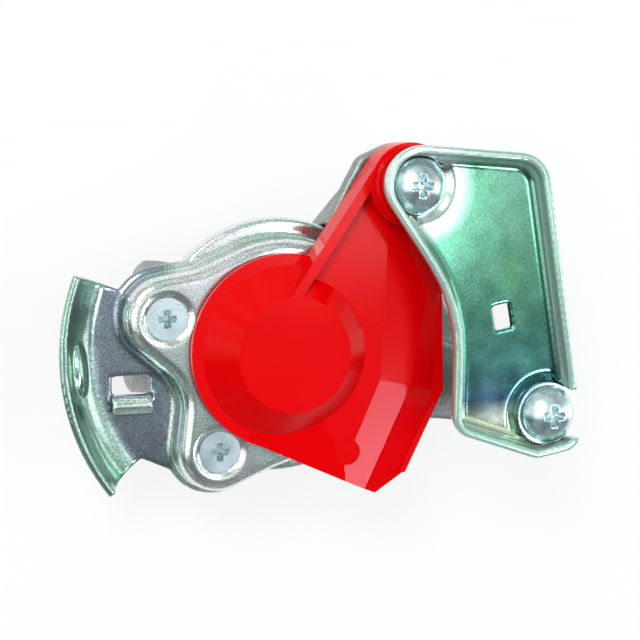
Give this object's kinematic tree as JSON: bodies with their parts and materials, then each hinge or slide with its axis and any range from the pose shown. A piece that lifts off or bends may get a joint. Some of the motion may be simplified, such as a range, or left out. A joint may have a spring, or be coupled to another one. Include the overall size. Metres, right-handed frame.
{
  "type": "gladhand air brake coupler",
  "caption": "Palm-type air brake coupling head with a pressed guide plate, a claw plate and a spring-loaded red dust cover that swings off the face seal.",
  "frame": {"origin": "on the face seal's axis, at the raised face of the guide plate (the mating plane)", "axes": "+Z out of the mating face along the seal axis, +X from the wing to the claw, +Y towards the cover's pivot"},
  "size_m": [0.1145, 0.0788, 0.0542],
  "materials": {
    "cast_body": "as-cast, matt",
    "plated_sheet": "bright zinc plate",
    "red_cover": "gloss",
    "seal_rubber": "matt",
    "plated_fastener": "bright zinc plate",
    "spring_wire": "drawn wire"
  },
  "bodies": {
    "head": {"body": "cast_body", "guide_plate": "plated_sheet", "claw_plate": "plated_sheet", "seal_ring": "seal_rubber", "pivot_bush": "plated_fastener", "cover_spring": "spring_wire", "pivot_screw": "plated_fastener", "claw_screw": "plated_fastener", "claw_washer": "plated_fastener", "plate_screw_upper": "plated_fastener", "plate_screw_lower": "plated_fastener"},
    "cover": {"dust_cover": "red_cover"}
  },
  "joints": [
    {"name": "cover_swing", "type": "hinge", "parent": "head", "child": "cover", "pos_m": [0.0262, 0.0365, 0], "axis": [0, 0, -1], "range_deg": [0, 100], "stiffness_Nm_per_rad": 0.03, "springref_deg": -22.92, "deforming": ["cover_spring"]}
  ]
}
